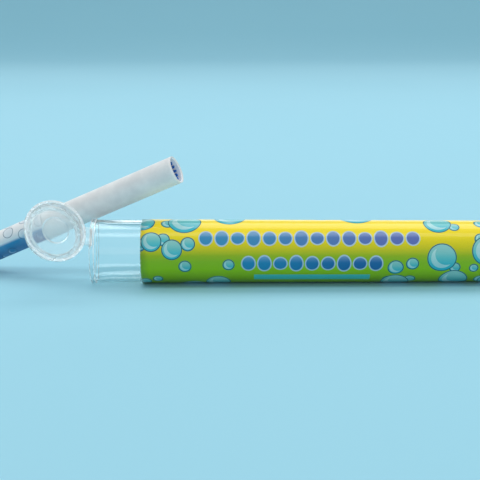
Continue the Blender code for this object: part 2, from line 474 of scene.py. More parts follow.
def moulded_haze():
    """Faint flow streaks and handling marks on moulded plastic."""
    tree, nodes, given, put = group(
        "moulded_haze",
        {"Place": VECTOR, "Clear": VALUE, "Hazy": VALUE},
        {"Roughness": VALUE, "Height": VALUE},
    )
    place = given["Place"]
    streaks = nodes.noise(nodes.vector("MULTIPLY", place, STREAK_STRETCH), 1.0, STREAK_DETAIL)
    smears = nodes.noise(place, SMEAR_SCALE, SMEAR_DETAIL)
    scuffs = nodes.rise(nodes.noise(place, SCUFF_SCALE, SCUFF_DETAIL, SCUFF_GRAIN), *SCUFF_SPAN)
    marks = nodes.math("ADD", nodes.times(smears, SMEAR_SHARE), nodes.times(scuffs, SCUFF_SHARE))
    span = nodes.math("SUBTRACT", given["Hazy"], given["Clear"])
    nodes.put(put["Roughness"], nodes.math("MULTIPLY_ADD", marks, span, given["Clear"]))
    nodes.put(put["Height"], nodes.math("ADD", streaks, nodes.times(smears, SMEAR_RELIEF)))
    return tree


FIBRE_DETAIL = 5.0
FIBRE_GRAIN = 0.7
FIBRE_TONE = 0.4
CLOUD_SCALE = 220.0
CLOUD_TONE = 0.6
CLOUD_RELIEF = 0.8
PAPER_ROUGHNESS = (0.62, 0.82)


def paper_fibre():
    """Fibres, cloudy thickness and handling greyness of thin paper."""
    tree, nodes, given, put = group(
        "paper_fibre",
        {"Place": VECTOR, "Fibre Scale": VALUE},
        {"Tone": VALUE, "Roughness": VALUE, "Height": VALUE},
    )
    place = given["Place"]
    fibres = nodes.noise(nodes.scaled(place, given["Fibre Scale"]), 1.0, FIBRE_DETAIL, FIBRE_GRAIN)
    clouds = nodes.noise(place, CLOUD_SCALE)
    tone = nodes.math("ADD", nodes.spread(clouds, 0.0, CLOUD_TONE), nodes.times(fibres, FIBRE_TONE))
    nodes.put(put["Tone"], tone)
    nodes.put(put["Roughness"], nodes.spread(fibres, *PAPER_ROUGHNESS))
    nodes.put(put["Height"], nodes.math("ADD", fibres, nodes.times(clouds, CLOUD_RELIEF)))
    return tree


# Strewn discs: the crescent's sizes are shares of a disc's radius, and the soft edge is in millimetres
DISC_STREWING = 0.6
DISC_ROOM = 0.94
DISC_EDGE = (-0.06, 0.06)
DISC_SHADING = (-0.9, 0.9)
CRESCENT_RADIUS = 0.74
CRESCENT_BITE = 0.76
CRESCENT_SHIFT = (0.3, 0.26, 0.0)


def printed_discs():
    """Round discs of many sizes strewn over a flat print, each with a line round it and a pale crescent."""
    tree, nodes, given, put = group(
        "printed_discs",
        {"Place": VECTOR, "Cell": VALUE, "Smallest": VALUE, "Largest": VALUE, "Line": VALUE, "Share": VALUE},
        {"Disc": VALUE, "Line": VALUE, "Crescent": VALUE, "Lower": VALUE, "Centre": VECTOR},
    )
    cells = nodes.scaled(given["Place"], nodes.math("DIVIDE", 1.0, given["Cell"]))
    inputs = {"Vector": cells, "Scale": 1.0, "Randomness": DISC_STREWING}
    flat = {"voronoi_dimensions": "2D"}
    strewn = nodes.node("ShaderNodeTexVoronoi", inputs, **flat).outputs
    room = nodes.node("ShaderNodeTexVoronoi", inputs, feature="N_SPHERE_RADIUS", **flat).outputs["Radius"]
    centre = nodes.scaled(strewn["Position"], given["Cell"])
    picks = nodes.node("ShaderNodeSeparateColor", {"Color": strewn["Color"]}).outputs
    span = nodes.math("SUBTRACT", given["Largest"], given["Smallest"])
    wished = nodes.math("MULTIPLY_ADD", picks["Red"], span, given["Smallest"])
    free = nodes.math("MINIMUM", wished, nodes.times(room, DISC_ROOM))
    present = nodes.math("LESS_THAN", picks["Green"], given["Share"])
    radius = nodes.times(free, given["Cell"])
    offset = nodes.vector("SUBTRACT", given["Place"], centre)
    away = nodes.vector("LENGTH", offset)
    inset = nodes.math("SUBTRACT", radius, away)
    disc = nodes.times(nodes.rise(inset, *DISC_EDGE), present)
    core = nodes.rise(nodes.math("SUBTRACT", inset, given["Line"]), *DISC_EDGE)
    outline = nodes.times(disc, nodes.math("SUBTRACT", 1.0, core))
    inner = nodes.math("SUBTRACT", nodes.times(radius, CRESCENT_RADIUS), away)
    from_bite = nodes.vector("DISTANCE", offset, nodes.scaled(CRESCENT_SHIFT, radius))
    bite = nodes.math("SUBTRACT", nodes.times(radius, CRESCENT_BITE), from_bite)
    crescent = nodes.times(nodes.rise(inner, *DISC_EDGE), nodes.rise(bite, *DISC_EDGE, *FALLING), present)
    level = nodes.math("DIVIDE", nodes.split(offset)["Y"], radius)
    nodes.put(put["Disc"], disc)
    nodes.put(put["Line"], outline)
    nodes.put(put["Crescent"], crescent)
    nodes.put(put["Lower"], nodes.rise(level, *DISC_SHADING, *FALLING))
    nodes.put(put["Centre"], centre)
    return tree


haze_group = moulded_haze()
fibre_group = paper_fibre()
disc_group = printed_discs()


# Finishes

def finish(name):
    """A new material: itself, its Nodes and its Principled shader."""
    look = bpy.data.materials.new(name)
    look.use_nodes = True
    return look, Nodes(look.node_tree), look.node_tree.nodes["Principled BSDF"].inputs


def object_place(nodes):
    return nodes.node("ShaderNodeTexCoord").outputs["Object"]


def print_place_of(nodes):
    return nodes.node("ShaderNodeAttribute", attribute_name="print_place").outputs["Vector"]


def height_on_roll(nodes, around, radius):
    """How high a point of a rolled sheet lies: 0 at the underside, 1 at the top."""
    level = nodes.math("SINE", nodes.math("DIVIDE", around, radius / MM))
    return nodes.math("MULTIPLY_ADD", level, 0.5, 0.5)


def bump(nodes, height, depth, strength=1.0):
    """Relief that is depth metres deep where height is 1."""
    inputs = {"Height": height, "Distance": depth, "Strength": strength}
    return nodes.node("ShaderNodeBump", inputs).outputs["Normal"]


def let_light_through(look, nodes, tint, share, inward=False):
    """Let a share of the lamps' light, tinted, pass a surface to what lies behind it, or only inwards."""
    lamp = nodes.times(nodes.node("ShaderNodeLightPath").outputs["Is Shadow Ray"], share)
    if inward:
        lamp = nodes.times(lamp, nodes.node("ShaderNodeNewGeometry").outputs["Backfacing"])
    through = nodes.node("ShaderNodeBsdfTransparent", {"Color": tint}).outputs[0]
    solid = look.node_tree.nodes["Principled BSDF"].outputs[0]
    mixed = nodes.node("ShaderNodeMixShader", {0: lamp, 1: solid, 2: through}).outputs[0]
    nodes.put(look.node_tree.nodes["Material Output"].inputs["Surface"], mixed)


# Clear and coloured plastics
PLASTIC_IOR = 1.49
TINT_CLOUD_SCALE = 90.0
TINT_LIFT = 1.04
MILK_DEPTH = 1.0 * MM
MILK_SPREAD = (1.0, 1.0, 1.0)
CLEAR_RELIEF = 0.01 * MM
CLEAR_RELIEF_STRENGTH = 0.25
FLOW_SCALE = 350.0
FLOW_DETAIL = 4.0
FLOW_HAZE = 0.2
FLOW_RELIEF = 0.02 * MM


def clear_plastic(name, tint, clear, hazy, milkiness, light_through):
    """Clear moulded plastic, milky to some degree."""
    look, nodes, shader = finish(name)
    place = object_place(nodes)
    haze = nodes.use(haze_group, {"Place": place, "Clear": clear, "Hazy": hazy})
    cloud = nodes.noise(place, TINT_CLOUD_SCALE)
    paler = tuple(min(1.0, value * TINT_LIFT) for value in tint[:3])
    nodes.put(shader["Base Color"], nodes.mix(cloud, tint, (*paler, 1.0)))
    nodes.put(shader["Roughness"], haze["Roughness"])
    nodes.put(shader["Normal"], bump(nodes, haze["Height"], CLEAR_RELIEF, CLEAR_RELIEF_STRENGTH))
    nodes.put(shader["Transmission Weight"], 1.0 - milkiness)
    nodes.put(shader["Subsurface Weight"], 1.0)
    nodes.put(shader["Subsurface Radius"], MILK_SPREAD)
    nodes.put(shader["Subsurface Scale"], MILK_DEPTH)
    nodes.put(shader["IOR"], PLASTIC_IOR)
    let_light_through(look, nodes, tint, light_through)
    return look


def moulded_plastic(name, deep, pale, roughness):
    """Coloured moulded plastic with a fine grain and faint flow marks."""
    look, nodes, shader = finish(name)
    place = object_place(nodes)
    flow = nodes.noise(place, FLOW_SCALE, FLOW_DETAIL)
    haze = nodes.use(haze_group, {"Place": place, "Clear": roughness, "Hazy": roughness + FLOW_HAZE})
    nodes.put(shader["Base Color"], nodes.mix(flow, deep, pale))
    nodes.put(shader["Roughness"], haze["Roughness"])
    nodes.put(shader["Normal"], bump(nodes, haze["Height"], FLOW_RELIEF))
    return look


clear_vial = clear_plastic(
    "clear_vial", srgb(246, 252, 253), clear=0.02, hazy=0.08, milkiness=0.0, light_through=0.8
)
clear_cap = clear_plastic(
    "clear_cap", srgb(244, 251, 252), clear=0.04, hazy=0.14, milkiness=0.1, light_through=0.75
)
milky_edges = clear_plastic(
    "milky_edges", srgb(246, 250, 250), clear=0.2, hazy=0.4, milkiness=0.45, light_through=0.5
)
whitened_hinge = clear_plastic(
    "whitened_hinge", srgb(248, 252, 252), clear=0.5, hazy=0.65, milkiness=0.6, light_through=0.7
)
clear_hinge = clear_plastic(
    "clear_hinge", srgb(244, 250, 251), clear=0.1, hazy=0.24, milkiness=0.3, light_through=0.6
)
white_tube = moulded_plastic("white_tube", srgb(238, 241, 244), srgb(247, 248, 250), roughness=0.5)
blue_insert = moulded_plastic("blue_insert", srgb(0, 82, 160), srgb(16, 112, 200), roughness=0.35)
white_sleeve = moulded_plastic("white_sleeve", srgb(224, 228, 230), srgb(238, 240, 241), roughness=0.4)

# Print of the label, in millimetres along the vial from its mouth and round it from the front
BEAD_ROWS = (
    {"start": 41.0, "end": 114.0, "middle": 4.6, "near": srgb(44, 134, 178), "far": srgb(84, 104, 170)},
    {"start": 56.0, "end": 98.5, "middle": -4.6, "near": srgb(16, 128, 176), "far": srgb(8, 98, 156)},
)
BEAD_PITCH = 5.6
BEAD_HALF_LENGTH = 2.6
BEAD_HALF_HEIGHT = 3.3
BEAD_SWELL = 0.12
BEAD_SWELL_TURN = 2.4
BEAD_BORDER = 0.42
BEAD_BORDER_INK = srgb(170, 196, 214)
# Pale lilac towards the beads' tops: partly print, partly a painted highlight of the lamps
BEAD_TOP_INK_AND_HIGHLIGHT = srgb(176, 196, 226)
BEAD_TOP_HIGHLIGHT_SHARE = 0.35
LABEL_DISCS = (
    {"cell": 8.0, "sizes": (0.2, 0.36), "share": 0.6, "shift": (1.0, 6.5, 0.0), "margin": 0.5},
    {"cell": 15.5, "sizes": (0.28, 0.46), "share": 0.9, "shift": (3.0, 4.0, 0.0), "margin": 2.5},
)
DISC_LINE = 0.36
DISC_LINE_INK = srgb(8, 92, 108)
DISC_FILL = ((0.0, srgb(138, 196, 190)), (0.5, srgb(92, 186, 188)), (1.0, srgb(36, 174, 192)))
CRESCENT_INK = srgb(206, 232, 228)
CRESCENT_SHARE = 0.5
BAR = {"start": 58.0, "end": 99.0, "low": -12.4, "high": -9.4}
BAR_INK = srgb(66, 184, 180)
CLEAR_ZONES = (
    {"start": 40.0, "end": 116.0, "low": -1.0, "high": 13.0},
    {"start": 55.0, "end": 100.0, "low": -15.0, "high": 0.0},
)
ZONE_EDGE = 0.01
SOFT_EDGE = 0.08

# Ground colour of the label, from its underside to its top
LABEL_GROUND = (
    (0.0, srgb(120, 162, 0)),
    (0.22, srgb(138, 192, 0)),
    (0.33, srgb(132, 182, 0)),
    (0.42, srgb(148, 178, 0)),
    (0.55, srgb(204, 194, 0)),
    (0.72, srgb(234, 211, 0)),
    (1.0, srgb(255, 222, 20)),
)

# Film of the label
WEAR_WIDTH = 0.5
WEAR_SCALE = 1.4
WEAR_SPAN = (0.45, 0.6)
WEAR_SHARE = 0.6
WORN_INK = srgb(236, 236, 214)
INK_SCALE = 3.0
INK_DETAIL = 4.0
INK_STAIN = srgb(60, 60, 20)
INK_STAIN_SHARE = 0.06
FILM_ROUGHNESS = (0.3, 0.42)
FILM_WAVE_SCALE = 0.5
FILM_WAVE_DETAIL = 2.0
FILM_WAVE_DEPTH = 0.02 * MM
FILM_WAVE_STRENGTH = 0.4
FILM_SPECULAR = 0.15
FILM_COAT = 0.5
FILM_COAT_ROUGHNESS = 0.08
FILM_TINT = srgb(255, 252, 240)
FILM_LIGHT = 0.95
FILM_BACK = (srgb(232, 236, 232), srgb(246, 247, 243))
FILM_BACK_FIBRE = 1500.0
FILM_BACK_RELIEF = 0.01 * MM


def inside_box(nodes, along, around, box, soft, margin=0.0):
    """1 inside a box of the print, widened by a margin, and 0 outside."""
    low_end, high_end = box["start"] - margin, box["end"] + margin
    low_side, high_side = box["low"] - margin, box["high"] + margin
    return nodes.times(
        nodes.rise(along, low_end - soft, low_end + soft),
        nodes.rise(along, high_end - soft, high_end + soft, *FALLING),
        nodes.rise(around, low_side - soft, low_side + soft),
        nodes.rise(around, high_side - soft, high_side + soft, *FALLING),
    )


def with_discs(nodes, color, place, discs):
    """The print with one size of strewn discs over it, left out where the beads and the bar lie."""
    smallest, largest = discs["sizes"]
    spot = nodes.vector("ADD", place, discs["shift"])
    sizes = {"Cell": discs["cell"], "Smallest": smallest, "Largest": largest, "Line": DISC_LINE}
    drawn = nodes.use(disc_group, {"Place": spot, "Share": discs["share"], **sizes})
    centre = nodes.split(nodes.vector("SUBTRACT", drawn["Centre"], discs["shift"]))
    kept = 1.0
    for zone in CLEAR_ZONES:
        hidden = inside_box(nodes, centre["X"], centre["Y"], zone, ZONE_EDGE, discs["margin"])
        kept = nodes.times(kept, nodes.math("SUBTRACT", 1.0, hidden))
    fill = nodes.ramp(drawn["Lower"], DISC_FILL)
    color = nodes.mix(nodes.times(drawn["Disc"], kept), color, fill)
    color = nodes.mix(nodes.times(drawn["Crescent"], kept, CRESCENT_SHARE), color, CRESCENT_INK)
    return nodes.mix(nodes.times(drawn["Line"], kept), color, DISC_LINE_INK)


def bead_depth(nodes, along, around, row):
    """How far inside the edge of its bead a point of the print lies, and how high it lies in the row."""
    from_start = nodes.math("SUBTRACT", along, row["start"])
    number = nodes.math("ROUND", nodes.math("DIVIDE", from_start, BEAD_PITCH))
    last = round((row["end"] - row["start"]) / BEAD_PITCH)
    number = nodes.math("MINIMUM", nodes.math("MAXIMUM", number, 0.0), last)
    sway = nodes.math("SINE", nodes.times(number, BEAD_SWELL_TURN))
    size = nodes.math("MULTIPLY_ADD", sway, BEAD_SWELL, 1.0 - BEAD_SWELL)
    centre = nodes.math("MULTIPLY_ADD", number, BEAD_PITCH, row["start"])
    sideways = nodes.math("SUBTRACT", around, row["middle"])
    across = nodes.math("DIVIDE", nodes.math("SUBTRACT", along, centre), BEAD_HALF_LENGTH)
    upward = nodes.math("DIVIDE", sideways, nodes.times(size, BEAD_HALF_HEIGHT))
    away = nodes.vector("LENGTH", nodes.combine(across, upward))
    return nodes.times(nodes.math("SUBTRACT", 1.0, away), BEAD_HALF_LENGTH), sideways


def with_beads(nodes, color, along, around, row):
    """The print with a row of oval beads over it, each paler towards its top: partly print, partly a painted
    highlight.
    """
    depth, sideways = bead_depth(nodes, along, around, row)
    deep = nodes.mix(nodes.rise(along, row["start"], row["end"]), row["near"], row["far"])
    # Painted highlight in part: each bead turns paler towards its top
    paler = nodes.rise(sideways, 0.0, BEAD_HALF_HEIGHT, 0.0, BEAD_TOP_HIGHLIGHT_SHARE)
    fill = nodes.mix(paler, deep, BEAD_TOP_INK_AND_HIGHLIGHT)
    color = nodes.mix(nodes.rise(depth, -SOFT_EDGE, SOFT_EDGE), color, BEAD_BORDER_INK)
    inner = nodes.rise(depth, BEAD_BORDER - SOFT_EDGE, BEAD_BORDER + SOFT_EDGE)
    return nodes.mix(inner, color, fill)


def with_worn_ends(nodes, color, place, along):
    """The print, rubbed pale in places along both ends of the label."""
    from_mouth = nodes.math("SUBTRACT", along, LABEL_START / MM)
    from_base = nodes.math("SUBTRACT", LABEL_END / MM, along)
    ends = nodes.rise(nodes.math("MINIMUM", from_mouth, from_base), 0.0, WEAR_WIDTH, *FALLING)
    rubbed = nodes.rise(nodes.noise(place, WEAR_SCALE), *WEAR_SPAN)
    return nodes.mix(nodes.times(ends, rubbed, WEAR_SHARE), color, WORN_INK)


def label_print():
    """Glossy film printed yellow to green, with strewn discs, two rows of beads and a bar."""
    look, nodes, shader = finish("label_print")
    place = print_place_of(nodes)
    along, around = nodes.split(place)["X"], nodes.split(place)["Y"]
    color = nodes.ramp(height_on_roll(nodes, around, VIAL_MOUTH_RADIUS), LABEL_GROUND)
    for discs in LABEL_DISCS:
        color = with_discs(nodes, color, place, discs)
    for row in BEAD_ROWS:
        color = with_beads(nodes, color, along, around, row)
    color = nodes.mix(inside_box(nodes, along, around, BAR, SOFT_EDGE), color, BAR_INK)
    color = with_worn_ends(nodes, color, place, along)
    ink = nodes.noise(place, INK_SCALE, INK_DETAIL)
    color = nodes.mix(nodes.spread(ink, 0.0, INK_STAIN_SHARE), color, INK_STAIN)
    wave = nodes.noise(place, FILM_WAVE_SCALE, FILM_WAVE_DETAIL)
    nodes.put(shader["Base Color"], color)
    nodes.put(shader["Roughness"], nodes.spread(ink, *FILM_ROUGHNESS))
    nodes.put(shader["Normal"], bump(nodes, wave, FILM_WAVE_DEPTH, FILM_WAVE_STRENGTH))
    nodes.put(shader["Specular IOR Level"], FILM_SPECULAR)
    nodes.put(shader["Coat Weight"], FILM_COAT)
    nodes.put(shader["Coat Roughness"], FILM_COAT_ROUGHNESS)
    let_light_through(look, nodes, FILM_TINT, FILM_LIGHT, inward=True)
    return look


def label_back():
    """Unprinted white inner side of the label."""
    look, nodes, shader = finish("label_back")
    fibre = nodes.use(fibre_group, {"Place": object_place(nodes), "Fibre Scale": FILM_BACK_FIBRE})
    nodes.put(shader["Base Color"], nodes.mix(fibre["Tone"], *FILM_BACK))
    nodes.put(shader["Roughness"], fibre["Roughness"])
    nodes.put(shader["Normal"], bump(nodes, fibre["Height"], FILM_BACK_RELIEF))
    let_light_through(look, nodes, FILM_TINT, FILM_LIGHT)
    return look


# Papers of the cigarette, with lengths of the print in millimetres
PAPER_FIBRE = 1800.0
WHITE_PAPER = (srgb(222, 220, 220), srgb(240, 239, 237))
WHITE_RELIEF = 0.02 * MM
TIP_GREY = srgb(206, 206, 206)
TIP_GREY_WIDTH = 0.8
TIP_GREY_SHARE = 0.35
# Colour of the mouth end's paper from its underside to its top: the deep blue underneath is partly print and
# partly painted shade
TIPPING_PRINT_AND_SHADE = (
    (0.2, srgb(0, 104, 156)),
    (0.44, srgb(14, 132, 180)),
    (0.53, srgb(206, 220, 228)),
    (0.75, srgb(234, 234, 234)),
)
TIPPING_DISCS = {"Cell": 6.2, "Smallest": 0.28, "Largest": 0.48, "Line": 0.22, "Share": 1.0}
TIPPING_INKS = (
    ("Disc", 0.18, srgb(60, 150, 190)),
    ("Crescent", 0.3, srgb(230, 240, 244)),
    ("Line", 0.85, srgb(14, 70, 104)),
)
TIPPING_FIBRE_INK = srgb(250, 250, 250)
TIPPING_FIBRE_SHARE = 0.1
TIPPING_RELIEF = 0.015 * MM


def white_paper():
    """Matt white paper of the cigarette, greyed by handling at its tip."""
    look, nodes, shader = finish("white_paper")
    fibre = nodes.use(fibre_group, {"Place": object_place(nodes), "Fibre Scale": PAPER_FIBRE})
    along = nodes.split(print_place_of(nodes))["X"]
    tip = CIG_LENGTH / MM
    grey = nodes.rise(along, tip - TIP_GREY_WIDTH, tip, 0.0, TIP_GREY_SHARE)
    nodes.put(shader["Base Color"], nodes.mix(grey, nodes.mix(fibre["Tone"], *WHITE_PAPER), TIP_GREY))
    nodes.put(shader["Roughness"], fibre["Roughness"])
    nodes.put(shader["Normal"], bump(nodes, fibre["Height"], WHITE_RELIEF))
    return look


def printed_paper():
    """Paper of the mouth end, white on top and blue underneath, partly print and partly painted shade, with
    outlined discs.
    """
    look, nodes, shader = finish("printed_paper")
    place = print_place_of(nodes)
    fibre = nodes.use(fibre_group, {"Place": object_place(nodes), "Fibre Scale": PAPER_FIBRE})
    # Painted shade in part: blue on the underside as the cigarette lies, white on top
    color = nodes.ramp(height_on_roll(nodes, nodes.split(place)["Y"], CIG_RADIUS), TIPPING_PRINT_AND_SHADE)
    discs = nodes.use(disc_group, {"Place": place, **TIPPING_DISCS})
    for mask, share, ink in TIPPING_INKS:
        color = nodes.mix(nodes.times(discs[mask], share), color, ink)
    color = nodes.mix(nodes.times(fibre["Tone"], TIPPING_FIBRE_SHARE), color, TIPPING_FIBRE_INK)
    nodes.put(shader["Base Color"], color)
    nodes.put(shader["Roughness"], fibre["Roughness"])
    nodes.put(shader["Normal"], bump(nodes, fibre["Height"], TIPPING_RELIEF))
    return look


# Vial

# Places of the plastics in the material lists of the vial and the cap, after the clear one
MILKY = 1
WHITENED = 2


def vial_radius(height):
    """Outer radius of the tapering tube at a distance from the mouth."""
    share = (height - COLLAR_LENGTH) / (VIAL_LENGTH - COLLAR_LENGTH)
    return VIAL_MOUTH_RADIUS + (VIAL_END_RADIUS - VIAL_MOUTH_RADIUS) * share


def vial_shell():
    """The tube, with its collar, the seat of the plug inside its mouth and the lug of the hinge."""
    bore_end = VIAL_LENGTH - VIAL_BASE
    outline = rounded([
        (0.0, VIAL_LENGTH, 0.0),
        (VIAL_END_RADIUS, VIAL_LENGTH, BASE_ROUNDING),
        (VIAL_MOUTH_RADIUS, COLLAR_LENGTH, EDGE_BREAK),
        (COLLAR_RADIUS, COLLAR_LENGTH - EDGE_BREAK, EDGE_BREAK / 2),
        (COLLAR_RADIUS, 0.0, EDGE_BREAK),
        (SEAT_RADIUS, 0.0, EDGE_BREAK),
        (SEAT_RADIUS, SEAT_DEPTH - SEAT_SLOPE, SEAT_SLOPE / 2),
        (VIAL_MOUTH_RADIUS - VIAL_WALL, SEAT_DEPTH + EDGE_BREAK, SEAT_SLOPE / 2),
        (VIAL_END_RADIUS - VIAL_WALL, bore_end, BASE_ROUNDING),
        (0.0, bore_end, 0.0),
    ])
    lug_outline = rounded([
        (LUG_ROOT, -LUG_HALF_DEPTH, 0.0),
        (-HINGE_GAP, -LUG_HALF_DEPTH, LUG_HALF_DEPTH / 2),
        (-HINGE_GAP, LUG_HALF_DEPTH, LUG_HALF_DEPTH / 2),
        (LUG_ROOT, LUG_HALF_DEPTH, 0.0),
    ])
    lug = slab("hinge_lug", lug_outline, HINGE_WIDTH)
    lug.transform(vial_place.inverted() @ hinge_place)
    shell = baked(joined(turned("vial_shell", outline), lug), EVEN_SHADING)
    for look in (clear_vial, milky_edges, whitened_hinge):
        shell.materials.append(look)
    step_start = COLLAR_LENGTH - 2 * EDGE_BREAK
    for face in shell.polygons:
        radius, height = face.center.xy.length, face.center.z
        on_rim = height < EDGE_BREAK
        on_step = radius > VIAL_MOUTH_RADIUS and step_start < height < COLLAR_LENGTH
        on_base = radius > VIAL_END_RADIUS - BASE_ROUNDING and height > VIAL_LENGTH - BASE_ROUNDING
        if radius > COLLAR_RADIUS + EDGE_BREAK / 2:
            face.material_index = WHITENED
        elif on_rim or on_step or on_base:
            face.material_index = MILKY
    piece("vial_shell", shell, vial_place, "vial", "vial_body")


def label_film():
    """The printed film round the vial, white inside."""
    def radius_at(height):
        return vial_radius(height) + LABEL_GAP + LABEL_THICKNESS

    film = rolled_sheet(
        "label_film",
        (label_print(), label_back()),
        LABEL_START,
        LABEL_END,
        radius_at,
        LABEL_THICKNESS,
        LABEL_OVERLAP,
        LABEL_ROWS,
        lay=LABEL_LAY,
    )
    piece("label_film", film, vial_place, "vial", "label_wrap")


# Cap and hinge

def cap_shell():
    """The disc with its plug wall, its round boss and the leaf that reaches over to the hinge."""
    plug_inner = PLUG_RADIUS - PLUG_WALL
    outline = rounded([
        (0.0, CAP_UNDER, 0.0),
        (plug_inner, CAP_UNDER, EDGE_BREAK),
        (plug_inner, PLUG_END, EDGE_BREAK),
        (PLUG_RADIUS - PLUG_TAPER, PLUG_END, EDGE_BREAK),
        (PLUG_RADIUS, CAP_UNDER, EDGE_BREAK / 2),
        (CAP_RADIUS, CAP_UNDER, EDGE_BREAK),
        (CAP_RADIUS, CAP_OUTER, EDGE_BREAK),
        (PLUG_RADIUS, CAP_OUTER, 0.0),
        (BOSS_RADIUS + EDGE_BREAK, CAP_OUTER, EDGE_BREAK / 2),
        (BOSS_RADIUS, CAP_OUTER - BOSS_HEIGHT, EDGE_BREAK / 2),
        (0.0, CAP_OUTER - BOSS_HEIGHT, 0.0),
    ])
    leaf_root = CAP_RADIUS - HINGE_RADIUS - 2 * EDGE_BREAK
    leaf_outer = CAP_OUTER + EDGE_BREAK
    leaf_under = CAP_UNDER - EDGE_BREAK
    leaf_outline = rounded([
        (leaf_root, leaf_outer, 0.0),
        (HINGE_GAP, leaf_outer, EDGE_BREAK),
        (HINGE_GAP, -HINGE_GAP, EDGE_BREAK),
        (-EDGE_BREAK, -HINGE_GAP, EDGE_BREAK),
        (-EDGE_BREAK, leaf_under, EDGE_BREAK / 2),
        (leaf_root, leaf_under, 0.0),
    ])
    leaf = slab("cap_leaf", leaf_outline, HINGE_WIDTH)
    leaf.transform(Matrix.Translation((HINGE_RADIUS, 0.0, 0.0)))
    disc = turned("cap_shell", outline)
    disc.materials.append(clear_cap)
    disc.materials.append(milky_edges)
    for face in disc.polygons:
        if face.center.z > CAP_UNDER + EDGE_BREAK or face.center.xy.length > PLUG_RADIUS:
            face.material_index = MILKY
    shell = baked(joined(disc, leaf), EVEN_SHADING)
    shell.materials.append(whitened_hinge)
    for face in shell.polygons:
        if face.center.x > HINGE_RADIUS - 2 * EDGE_BREAK:
            face.material_index = WHITENED
    piece("cap_shell", shell, cap_place, "cap", "flip_cap")


def hinge_strap():
    """The thin film that bends between the collar's lug and the cap's leaf."""
    toe = (HINGE_GAP - EDGE_BREAK) / 2
    ends = (
        Vector((-HINGE_GAP - STRAP_SEAT, 0.0, 0.0)),
        Vector((0.0, 0.0, 0.0)),
        Vector((0.0, 0.0, 0.0)),
        cap_swing @ Vector((toe, 0.0, -HINGE_GAP - STRAP_SEAT)),
    )
    half_width = HINGE_WIDTH / 2 - EDGE_BREAK
    across = [Vector((0.0, side * half_width, 0.0)) for side in (-1, 0, 1)]
    shape = bmesh.new()
    lines = []
    for step in range(STRAP_STEPS + 1):
        share = step / STRAP_STEPS
        rest = 1 - share
        weights = (rest**3, 3 * share * rest**2, 3 * share**2 * rest, share**3)
        middle = sum((end * weight for end, weight in zip(ends, weights)), Vector())
        lines.append([shape.verts.new(middle + offset) for offset in across])
    for low, high in zip(lines, lines[1:]):
        for side in range(2):
            shape.faces.new((low[side], high[side], high[side + 1], low[side + 1]))
    bmesh.ops.recalc_face_normals(shape, faces=shape.faces)
    thick = ("SOLIDIFY", {"thickness": STRAP_THICKNESS, "offset": 0.0})
    soft = ("BEVEL", {"width": STRAP_ROUNDING, "segments": 2, "limit_method": "ANGLE"})
    strap = baked(to_mesh("hinge_strap", shape), thick, soft, EVEN_SHADING)
    strap.materials.append(clear_hinge)
    strap.transform(hinge_place)
    made = placed("hinge_strap", strap)
    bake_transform(made)
    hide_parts("hinge_film")


# Cigarette

def paper_layers():
    """The two papers, rolled round the core and meeting end to end."""
    def radius_at(height):
        return CIG_RADIUS

    papers = (
        ("paper_wrap", PAPERS_MEET + PAPER_SEAM, CIG_LENGTH, white_paper(), "cig_wrap"),
        ("tipping_paper", CORE_START, PAPERS_MEET, printed_paper(), "cig_tipping"),
    )
    for name, start, end, look, node in papers:
        sheet = rolled_sheet(
            name,
            [look],
            start,
            end,
            radius_at,
            PAPER,
            PAPER_OVERLAP,
            round((end - start) / PAPER_ROW_LENGTH),
            ripple=PAPER_RIPPLE,
        )
        piece(name, sheet, cig_place, "cigarette", node)


def core_and_sleeve():
    """The stiff tube under the papers, and the sleeve in its mouth end."""
    core_bore = CORE_RADIUS - CORE_WALL
    core_outline = rounded([
        (CORE_RADIUS, CORE_END, CORE_ROUNDING),
        (CORE_RADIUS, CORE_START, CORE_ROUNDING),
        (core_bore, CORE_START, CORE_ROUNDING),
        (core_bore, CORE_END, CORE_ROUNDING),
    ])
    sleeve_outline = rounded([
        (INSERT_RADIUS, SLEEVE_LENGTH, EDGE_BREAK),
        (INSERT_RADIUS, SLEEVE_LIP, EDGE_BREAK / 2),
        (CIG_RADIUS, SLEEVE_LIP, EDGE_BREAK),
        (CIG_RADIUS, 0.0, EDGE_BREAK),
        (SLEEVE_BORE, 0.0, EDGE_BREAK),
        (SLEEVE_BORE, SLEEVE_LENGTH, EDGE_BREAK),
    ])
    tubes = (
        ("core_tube", core_outline, white_tube, "cig_core"),
        ("mouth_ring", sleeve_outline, white_sleeve, "mouth_sleeve"),
    )
    for name, outline, look, node in tubes:
        tube = baked(turned(name, outline, ring=True), EVEN_SHADING)
        tube.materials.append(look)
        piece(name, tube, cig_place, "cigarette", node)


def tooth_ring_tree():
    """Geometry nodes that repeat one tooth round Z and weld the copies into a ring."""
    tree = bpy.data.node_groups.new("tooth_ring", "GeometryNodeTree")
    for socket, kind in (
        ("Tooth", "NodeSocketGeometry"),
        ("Teeth", "NodeSocketInt"),
        ("Weld", "NodeSocketFloat"),
        ("Finish", "NodeSocketMaterial"),
    ):
        tree.interface.new_socket(socket, in_out="INPUT", socket_type=kind)
    tree.interface.new_socket("Ring", in_out="OUTPUT", socket_type="NodeSocketGeometry")
    nodes = Nodes(tree)
    given = nodes.node("NodeGroupInput").outputs
    number = nodes.node("GeometryNodeInputIndex").outputs[0]
    turn = nodes.times(number, nodes.math("DIVIDE", 2 * pi, given["Teeth"]))
    spots = nodes.node("GeometryNodePoints", {"Count": given["Teeth"]}).outputs[0]
    inputs = {"Points": spots, "Instance": given["Tooth"], "Rotation": nodes.combine(0.0, 0.0, turn)}
    copies = nodes.node("GeometryNodeInstanceOnPoints", inputs).outputs[0]
    real = nodes.node("GeometryNodeRealizeInstances", {"Geometry": copies}).outputs[0]
    inputs = {"Geometry": real, "Distance": given["Weld"]}
    welded = nodes.node("GeometryNodeMergeByDistance", inputs).outputs[0]
    inputs = {"Geometry": welded, "Material": given["Finish"]}
    coated = nodes.node("GeometryNodeSetMaterial", inputs).outputs[0]
    nodes.node("NodeGroupOutput", {"Ring": coated})
    return tree


